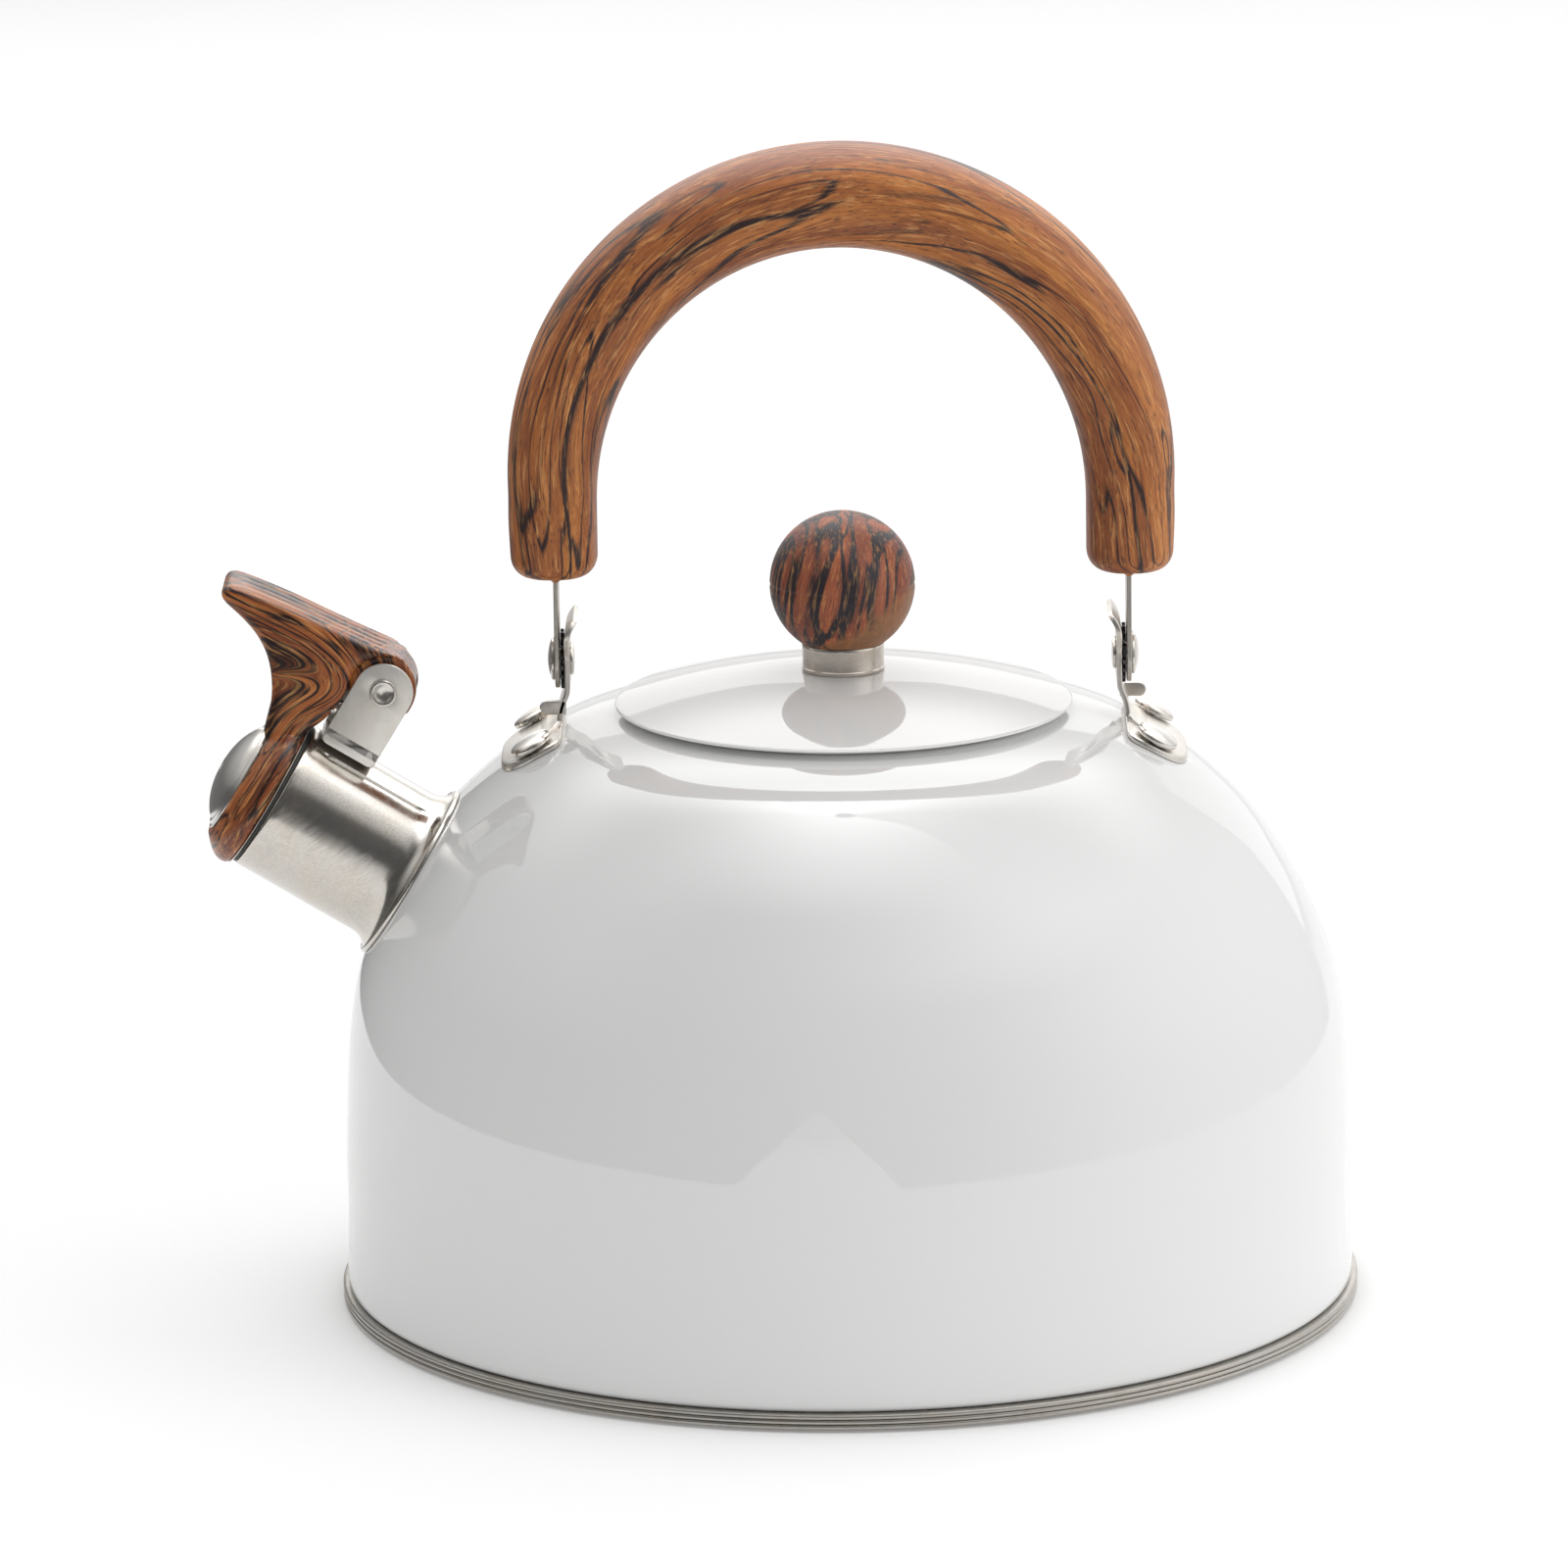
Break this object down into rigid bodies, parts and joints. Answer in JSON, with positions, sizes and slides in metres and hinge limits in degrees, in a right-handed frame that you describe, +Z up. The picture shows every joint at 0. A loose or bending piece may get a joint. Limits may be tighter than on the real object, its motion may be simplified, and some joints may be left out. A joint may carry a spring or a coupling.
{
  "type": "stovetop whistling kettle",
  "caption": "Round domed enamelled kettle with a folding arched handle, a lift-off lid with a ball knob, and a short spout closed by a sprung flip-up whistle.",
  "frame": {"origin": "centre of the flat base disc, on the plane the kettle stands on", "axes": "+Z up along the axis of the round body, -X towards the spout, so the handle arches over the lid in the XZ plane and folds about an axis along X"},
  "size_m": [0.2177, 0.194, 0.2217],
  "materials": {
    "white_enamel": "glossy vitreous enamel",
    "bare_steel": "satin",
    "bright_steel": "polished",
    "spring_steel": "drawn wire",
    "black_steel": "black",
    "woodprint_satin": "satin with a printed wood grain",
    "woodprint_gloss": "glossy with a printed wood grain",
    "brass": "turned",
    "silicone": "matt"
  },
  "bodies": {
    "kettle": {"body_shell": "white_enamel", "base_pan": "bare_steel", "spout_neck": "white_enamel", "spout_sleeve": "bare_steel", "whistle_bracket": "bare_steel", "whistle_hinge_pin": "bare_steel", "whistle_spring": "spring_steel", "bracket_left": "bare_steel", "bracket_right": "bare_steel", "bracket_rivet_left_front": "bright_steel", "bracket_rivet_left_rear": "bright_steel", "bracket_rivet_right_front": "bright_steel", "bracket_rivet_right_rear": "bright_steel", "handle_pivot_rivet_left": "bright_steel", "handle_pivot_rivet_right": "bright_steel", "friction_washer_left": "black_steel", "friction_washer_right": "black_steel"},
    "handle": {"handle_grip": "woodprint_satin", "handle_tang_left": "bare_steel", "handle_tang_right": "bare_steel"},
    "lid": {"lid_cover": "white_enamel", "lid_skirt": "bare_steel", "knob_ball": "woodprint_satin", "knob_collar": "bare_steel", "knob_insert": "brass", "knob_screw": "bright_steel", "knob_lock_washer": "bright_steel"},
    "whistle": {"whistle_lever": "woodprint_gloss", "whistle_front_dome": "bare_steel", "whistle_rear_disc": "bare_steel", "whistle_gasket": "silicone"}
  },
  "joints": [
    {"name": "handle_fold", "type": "hinge", "parent": "kettle", "child": "handle", "pos_m": [0, 0, 0.1236], "axis": [1, 0, 0], "range_deg": [-97, 97]},
    {"name": "lid_lift", "type": "slide", "parent": "kettle", "child": "lid", "axis": [0, 0, 1], "range_m": [0, 0.045]},
    {"name": "whistle_flip", "type": "hinge", "parent": "kettle", "child": "whistle", "pos_m": [-0.08662, 0, 0.11891], "axis": [0, 1, 0], "range_deg": [0, 70], "stiffness_Nm_per_rad": 0.04, "springref_deg": -34.38, "deforming": ["whistle_spring"]}
  ]
}
